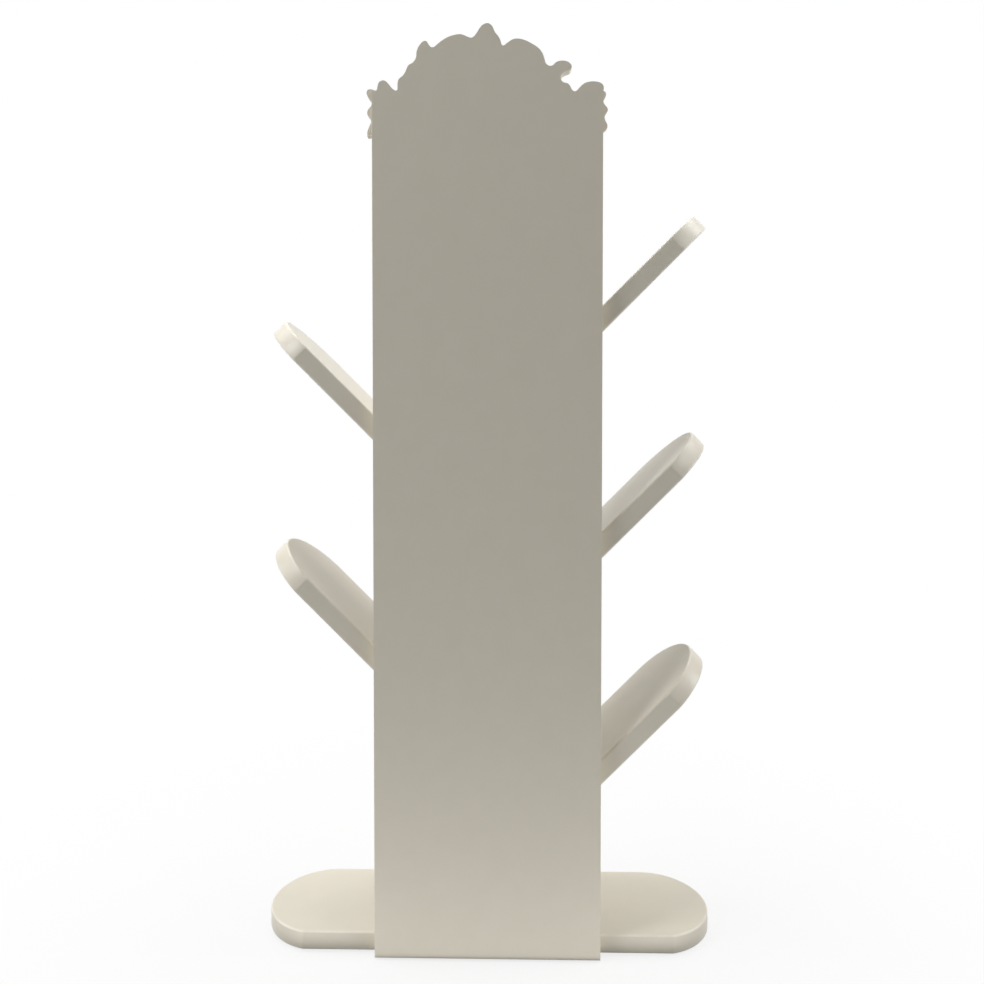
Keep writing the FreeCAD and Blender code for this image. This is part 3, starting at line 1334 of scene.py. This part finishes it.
@dataclass
class CrestCarving:
    """The carved trim on the panel's front: a flat ground with raised flowers, leaves and stems.

    Attributes:
        thickness: Thickness of its ground.
        edge_radius: Rounding of the ground's front edge.
        foot: Height of the panel's sides.
    """

    node: str = "crest_carving"
    thickness: float = 4.0 * MM
    edge_radius: float = 1.0 * MM
    edge_steps: int = 3
    foot: float = 679 * MM
    ground_hollow_shade: float = 0.8
    stem_width: float = 1.3 * MM
    stem_rise: float = 1.8 * MM
    stem_steps: int = 8
    leaf_rise: float = 3.2 * MM

    def stems(self) -> list[Stem]:
        """List the stems, each from its root, tip and swing.

        Returns:
            The stems.
        """
        spines = (((-4, -12), (-62, -16), 0.12), ((4, -12), (62, -20), -0.12),
                  ((-40, 4), (-58, 16), 0.1), ((42, 6), (48, 30), 0.08))
        return [Stem(crest_place(*root), crest_place(*tip), self.stem_width, self.stem_rise, swing,
                     steps_across=self.stem_steps) for root, tip, swing in spines]

    def leaves(self) -> list[Leaf]:
        """List the leaves, each from its root, tip, half width and swing.

        Returns:
            The leaves.
        """
        middle = (((-1, 10), (-1, 50), 7.6, 0.03), ((-1, 2), (0, -28), 6.8, 0.04),
                  ((-7, -6), (-26, -19.5), 4.6, 0.1), ((7, -4), (26, -19.5), 4.6, -0.1))
        right = (((42, 4), (48.2, 37.2), 6.2, -0.06), ((40, -4), (59.2, 20), 5.8, 0.08),
                 ((46, -14), (66.6, 9), 5.6, 0.08), ((44, -4), (55.5, -25.8), 5.6, -0.08),
                 ((67, -10), (81.2, 8.4), 4.6, -0.08), ((80, -8), (92.6, 4), 3.2, 0.1),
                 ((82, -14), (93, -10.8), 3.4, 0.06), ((82, -22), (93.2, -27.2), 3.4, 0.06))
        left = (((-42, 11), (-60.4, 20.2), 2.7, -0.05), ((-44, -8), (-63.5, 3.6), 4.6, 0.08),
                ((-46, -4), (-57, -25.5), 5.6, 0.08), ((-68, -8), (-83, 5), 5.4, 0.06),
                ((-80, -6), (-91, 0.8), 2.8, 0.06), ((-82, -12), (-93.2, -11.2), 3.0, 0.06),
                ((-82, -18), (-92.8, -23), 3.2, 0.06))
        return [Leaf(crest_place(*root), crest_place(*tip), width * MM, self.leaf_rise, swing)
                for root, tip, width, swing in middle + right + left]

    def flowers(self) -> list[Flower]:
        """List the flowers, each from its middle, radius and turn.

        Returns:
            The flowers.
        """
        heads = (((-76, -13.5), 15.5, 0.3), ((76, -18), 15.5, -0.2),
                 ((-25.5, 13), 23.5, 0.1), ((23.5, 16.5), 24.5, -0.15))
        return [Flower(crest_place(*middle), radius * MM, turn) for middle, radius, turn in heads]

    def forms(self) -> list[CarvedForm | Flower]:
        """List the raised forms, from the lowest to the highest."""
        return [*self.stems(), *self.leaves(), *self.flowers()]

    def build(self, material: bpy.types.Material) -> bpy.types.Object:
        """Model the carving and paint it.

        Args:
            material: Its paint.

        Returns:
            The piece.
        """
        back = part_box(self.node)[1].y
        ground = CarvedGround(front=back - self.thickness, foot=self.foot)
        shape = flat_outline(self.node, back)
        thicken_outline(shape, Vector((0, -self.thickness, 0)))
        ease(shape, level_edges(shape, ground.front), self.edge_radius, self.edge_steps)
        # Painted shade: the ground round the forms takes most of the paint's darker hollow tone.
        layer = shape.verts.layers.float.new(HOLLOW_SHADE_LAYER)
        for edge in level_edges(shape, ground.front):
            for vert in edge.verts:
                vert[layer] = self.ground_hollow_shade
        for form in self.forms():
            form.carve(shape, ground)
        return finish_piece("crest_carving_painted", shape, material, Slot.CARVING_PAINT, self.node)


@dataclass
class FeltPads:
    """Four square pads of pressed felt under the base.

    Attributes:
        width: Width of a pad.
        corner_radius: Rounding of its upright corners.
        edge_radius: Rounding of its upper and lower edges.
    """

    node: str = "felt_pads"
    width: float = 20 * MM
    corner_radius: float = 2.5 * MM
    corner_steps: int = 5
    edge_radius: float = 0.5 * MM
    edge_steps: int = 3

    def build(self, material: bpy.types.Material) -> bpy.types.Object:
        """Model the pads.

        Args:
            material: Their felt.

        Returns:
            The piece.
        """
        low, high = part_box(self.node)
        half = self.width / 2
        shape = bmesh.new()
        for x in (low.x + half, high.x - half):
            for y in (low.y + half, high.y - half):
                middle = Vector((x, y, (low.z + high.z) / 2))
                size = Matrix.Diagonal((self.width, self.width, high.z - low.z, 1))
                bmesh.ops.create_cube(shape, size=1.0, matrix=Matrix.Translation(middle) @ size)
        upright = [edge for edge in shape.edges if climb(edge) > MM]
        ease(shape, upright, self.corner_radius, self.corner_steps)
        rims = [edge for edge in shape.edges if climb(edge) < MERGE_DISTANCE]
        ease(shape, rims, self.edge_radius, self.edge_steps)
        piece = finish_piece("felt_pads_soft", shape, material, Slot.FELT, self.node)
        return piece


@dataclass
class Dowels:
    """The glued wooden dowels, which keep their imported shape."""

    base_node: str = "panel_dowels_base"
    slope: float = SHELF_SLOPE

    def dress(self, effects: Effects) -> None:
        """Give every dowel bare wood with its grain along it.

        Args:
            effects: The shared shader effects.
        """
        backward = beech("dowel_beech_backward", along_y=True).make(effects)
        leaning = {Side.LEFT: beech("dowel_beech_left", turn=self.slope).make(effects),
                   Side.RIGHT: beech("dowel_beech_right", turn=-self.slope).make(effects)}
        self.paint(self.base_node, backward)
        for number in range(1, SHELF_COUNT + 1):
            self.paint(f"panel_dowels_{number}", backward)
            self.paint(f"joint_dowels_{number}", leaning[shelf_side(number)])

    def paint(self, node: str, material: bpy.types.Material) -> None:
        """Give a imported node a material.

        Args:
            node: Name of the node.
            material: Its finish.
        """
        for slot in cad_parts[node].material_slots:
            slot.material = material
        log.info("%s: %s", node, material.name)


def shelf_side(number: int) -> Side:
    """Say to which side a shelf rises: the first to the left, the others by turns."""
    return Side.LEFT if number % 2 else Side.RIGHT


@dataclass(frozen=True)
class StudioLight:
    """A soft rectangular light.

    Attributes:
        name: Its name.
        place: Where it hangs.
        target: What it faces.
        size: Its width and height.
        power: Its power in watts.
    """

    name: str
    place: tuple[float, float, float]
    target: tuple[float, float, float]
    size: tuple[float, float]
    power: float

    def hang(self) -> None:
        """Add the light, turned to its target and unseen itself."""
        data = bpy.data.lights.new(self.name, "AREA")
        data.shape = "RECTANGLE"
        data.size, data.size_y = self.size
        data.energy = self.power
        lamp = add_object(self.name, data)
        lamp.location = self.place
        heading = Vector(self.target) - Vector(self.place)
        lamp.rotation_euler = heading.to_track_quat("-Z", "Y").to_euler()
        lamp.visible_camera = False


@dataclass
class Studio:
    """The pale floor, the soft light and the camera, which looks at the rack from behind.

    Attributes:
        lights: The soft lights, with left and right as the camera sees them.
        world_level: Strength of the even light from all round.
        floor_grey: Grey of the floor as it is seen.
        bounce_grey: Grey of the floor for the light that it throws back.
        shadow_share: How much of the shadow shows at the rack's foot.
        shadow_reach: Distance at which the shadow has faded out.
        focal_pixels: Focal length, in pixels of the photograph.
        axis_pixel: Where the camera's axis meets the photograph, from its upper left corner.
    """

    lights: tuple[StudioLight, ...] = (
        StudioLight("high_front", (0.0, -1.1, 2.0), (0, 0, 0.3), size=(1.2, 1.2), power=9.7),
        StudioLight("high_left", (1.3, -0.3, 1.8), (0, 0, 0.35), size=(1.0, 1.0), power=8.0),
        StudioLight("high_right", (-1.3, -0.3, 1.8), (0, 0, 0.35), size=(1.0, 1.0), power=12.8),
        StudioLight("over_left", (0.7, 0.0, 2.2), (0, 0, 0.35), size=(0.8, 0.8), power=11.4),
        StudioLight("flank_left", (1.7, 0.1, 0.7), (0, 0.1, 0.35), size=(0.6, 0.6), power=6.0),
        StudioLight("flank_right", (-1.7, 0.1, 0.7), (0, 0.1, 0.35), size=(0.6, 0.6), power=7.8),
        StudioLight("back_left", (1.3, 0.75, 1.4), (0, 0, 0.35), size=(0.5, 0.5), power=9.5),
        StudioLight("back_right", (-1.3, 0.75, 1.4), (0, 0, 0.35), size=(0.5, 0.5), power=4.3),
        StudioLight("floor_bounce", (0.0, 0.115, 0.003), (0, 0.115, 1), size=(0.7, 0.12), power=0.08),
        StudioLight("floor_glow", (0.0, 0.255, 0.002), (0, 0.255, 1), size=(0.8, 0.4), power=0.39),
        StudioLight("floor_left", (0.145, 0.085, 0.004), (0.145, 0.085, 1), size=(0.07, 0.05),
                    power=0.008),
        StudioLight("floor_right", (-0.145, 0.085, 0.004), (-0.145, 0.085, 1), size=(0.07, 0.05),
                    power=0.007),
    )
    world_level: float = 0.1
    floor_width: float = 8.0
    floor_grey: float = 0.8
    bounce_grey: float = 0.35
    shadow_share: float = 0.25
    shadow_reach: float = 0.55
    camera_place: tuple[float, float, float] = (-0.01364, 0.71199, 0.42018)
    camera_tilt: float = math.radians(88.53)
    camera_turn: float = math.radians(181.2)
    focal_pixels: float = 848.5
    axis_pixel: Place = (487.0, 450.4)
    nearest_seen: float = 0.01

    def seen_directly(self, graph: ShaderGraph) -> bpy.types.NodeSocket:
        """Add a mask of where the camera, a reflection or a see-through part looks at a surface.

        Args:
            graph: Node tree of the surface or the world.

        Returns:
            The output, 1 where it is looked at and 0 where it only throws light.
        """
        path = graph.add("LightPath").outputs
        seen = graph.math("MAXIMUM", path["Is Camera Ray"], path["Is Glossy Ray"])
        return graph.math("MAXIMUM", seen, path["Is Transmission Ray"])

    def set_world(self) -> None:
        """Light the scene evenly from all round, and show plain white behind it."""
        world = bpy.data.worlds.new("studio")
        world.use_nodes = True
        graph = ShaderGraph(world.node_tree)
        around = graph.add("Background", color=WHITE, strength=self.world_level)
        white = graph.add("Background", color=WHITE, strength=1.0)
        mix = graph.add("MixShader")
        output = graph.add("OutputWorld")
        graph.feed(mix.inputs[0], self.seen_directly(graph))
        graph.feed(mix.inputs[1], around.outputs[0])
        graph.feed(mix.inputs[2], white.outputs[0])
        graph.feed(output.inputs["Surface"], mix.outputs[0])
        bpy.context.scene.world = world

    def lay_floor(self) -> None:
        """Lay a white floor that keeps the rack's shadow near it."""
        shape = bmesh.new()
        bmesh.ops.create_grid(shape, x_segments=2, y_segments=2, size=self.floor_width / 2)
        mesh = bpy.data.meshes.new("floor")
        shape.to_mesh(mesh)
        shape.free()
        mesh.materials.append(self.floor_material())
        add_object("floor", mesh)

    def floor_material(self) -> bpy.types.Material:
        """Make the floor's material.

        Returns:
            A pale matt floor, which looks white and shows a soft shadow near the rack.
        """
        material, graph, shader = new_material("studio_floor")
        seen = self.seen_directly(graph)
        pale, bounce = ((grey, grey, grey, 1) for grey in (self.floor_grey, self.bounce_grey))
        graph.feed(shader.inputs["Base Color"], graph.mix(seen, bounce, pale))
        shader.inputs["Roughness"].default_value = 1.0
        shader.inputs["Specular IOR Level"].default_value = 0.0
        white = graph.add("Emission", color=WHITE, strength=1.0)
        place = graph.add("TexCoord").outputs["Object"]
        distance = graph.add("VectorMath", operation="LENGTH")
        graph.feed(distance.inputs[0], place)
        away = graph.math("DIVIDE", distance.outputs["Value"], self.shadow_reach)
        near = graph.math("MAXIMUM", graph.math("SUBTRACT", 1.0, away), 0.0)
        shadow = graph.math("MULTIPLY", near, self.shadow_share)
        whiteness = graph.math("MULTIPLY", graph.math("SUBTRACT", 1.0, shadow), seen)
        mix = graph.add("MixShader")
        graph.feed(mix.inputs[0], whiteness)
        graph.feed(mix.inputs[1], shader.outputs["BSDF"])
        graph.feed(mix.inputs[2], white.outputs[0])
        output = next(node for node in graph.tree.nodes if node.type == "OUTPUT_MATERIAL")
        graph.feed(output.inputs["Surface"], mix.outputs[0])
        return material

    def set_camera(self) -> None:
        """Set the camera at the photograph's place, with its lens and framing."""
        data = bpy.data.cameras.new("camera")
        data.lens = data.sensor_width * self.focal_pixels / PHOTO_WIDTH
        data.shift_x = 0.5 - self.axis_pixel[0] / PHOTO_WIDTH
        data.shift_y = self.axis_pixel[1] / PHOTO_WIDTH - 0.5
        data.clip_start = self.nearest_seen
        camera = add_object("camera", data)
        camera.location = self.camera_place
        camera.rotation_euler = (self.camera_tilt, 0, self.camera_turn)
        bpy.context.scene.camera = camera

    def build(self) -> None:
        """Set up the floor, the light, the camera and the plain view of colours."""
        bpy.context.scene.view_settings.view_transform = "Standard"
        self.set_world()
        self.lay_floor()
        for light in self.lights:
            light.hang()
        self.set_camera()


def main() -> None:
    """Build the rack's pieces in order, and the studio round them."""
    logging.basicConfig(level=logging.INFO, format="%(name)s: %(message)s")
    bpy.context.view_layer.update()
    effects = Effects()
    cream = CREAM_PAINT.make(effects)
    Studio().build()

    BackPanel().build(cream)
    CrestCarving().build(CARVING_PAINT.make(effects))
    Base.from_frame().build(cream)
    seat_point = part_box(Base.node)[1]
    seat_normal = UP
    for number in range(1, SHELF_COUNT + 1):
        shelf = Shelf.from_frame(number, shelf_side(number))
        shelf.build(cream, seat_point, seat_normal)
        seat_point = shelf.upper_point
        seat_normal = shelf.normal
    FeltPads().build(FELT.make(effects))
    Dowels().dress(effects)


if __name__ == "__main__":
    main()
